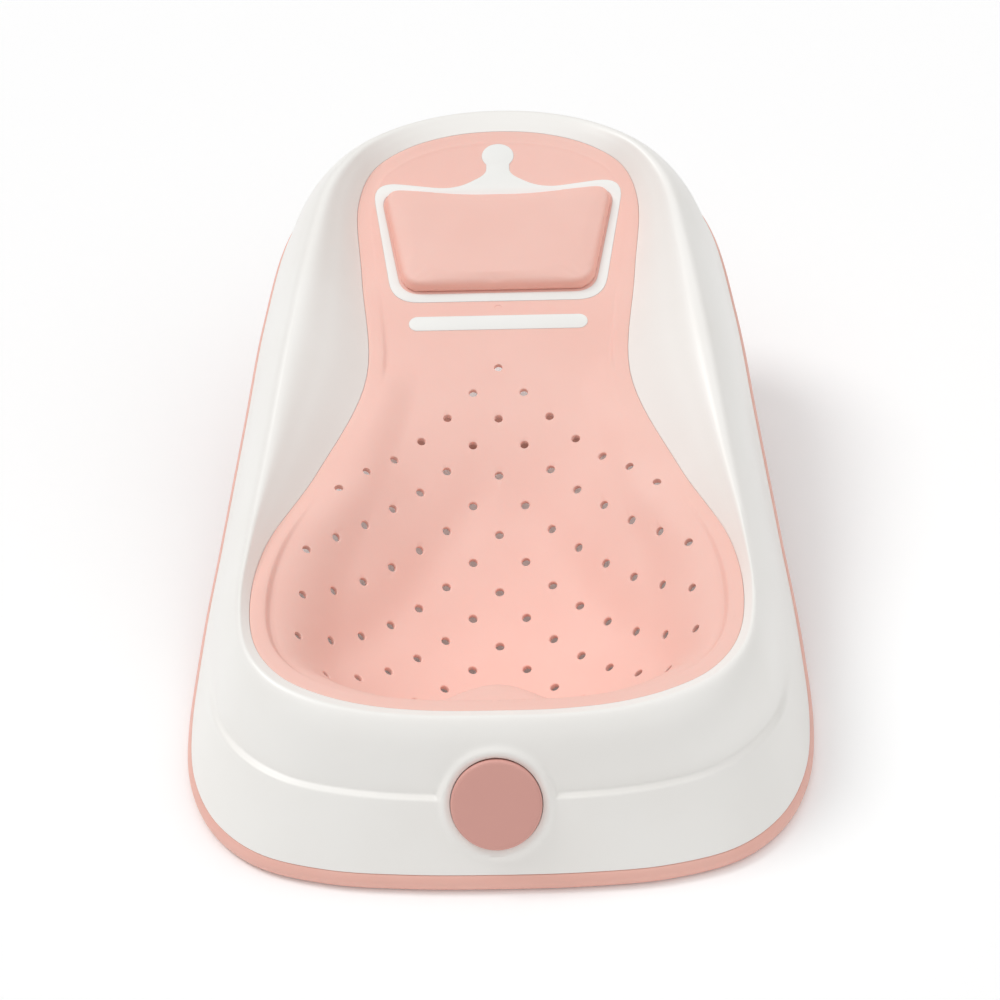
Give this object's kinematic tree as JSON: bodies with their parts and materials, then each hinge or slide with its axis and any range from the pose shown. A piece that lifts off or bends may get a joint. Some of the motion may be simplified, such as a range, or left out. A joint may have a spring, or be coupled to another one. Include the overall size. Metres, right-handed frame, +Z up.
{
  "type": "baby bath support",
  "caption": "Reclined baby bath support: white moulded shell, perforated soft seat, raised head cushion, press-in front disc and a folding rear stand.",
  "frame": {"origin": "middle of the footprint's bounding box, on the floor", "axes": "+Y from the foot end to the head end, +Z up, +X to the right seen from the foot end"},
  "size_m": [0.3514, 0.56, 0.1818],
  "materials": {
    "white_shell": "satin moulded",
    "white_trim": "satin moulded",
    "soft_pink": "fine matt, soft elastomer",
    "cushion_pink": "fine matt, soft foam-filled",
    "base_pink": "satin moulded",
    "disc_rose": "satin",
    "rubber": "matt",
    "steel": "plated"
  },
  "bodies": {
    "shell": {"outer_shell": "white_shell", "hinge_beam": "white_shell", "head_border": "white_trim", "neck_bar": "white_trim", "seat_membrane": "soft_pink", "head_cushion": "cushion_pink", "base_rim": "base_pink", "base_pad_right_1": "rubber", "base_pad_left_1": "rubber", "base_pad_right_2": "rubber", "base_pad_left_2": "rubber", "base_screw_right_1": "steel", "base_screw_left_1": "steel", "base_screw_right_2": "steel", "base_screw_left_2": "steel", "base_screw_right_3": "steel", "base_screw_left_3": "steel", "base_screw_right_4": "steel", "base_screw_left_4": "steel", "beam_screw_right": "steel", "beam_screw_left": "steel", "hinge_pin_right": "steel", "hinge_pin_left": "steel"},
    "stand": {"rear_stand": "base_pink", "stand_pad_right": "rubber", "stand_pad_left": "rubber"},
    "disc": {"front_disc": "disc_rose", "disc_seal": "rubber"}
  },
  "joints": [
    {"name": "stand_fold", "type": "hinge", "parent": "shell", "child": "stand", "pos_m": [0, 0.132, 0.0904], "axis": [-1, 0, 0], "range_deg": [0, 82]},
    {"name": "disc_pull", "type": "slide", "parent": "shell", "child": "disc", "axis": [0, -0.8746, 0.4848], "range_m": [0, 0.022]}
  ]
}
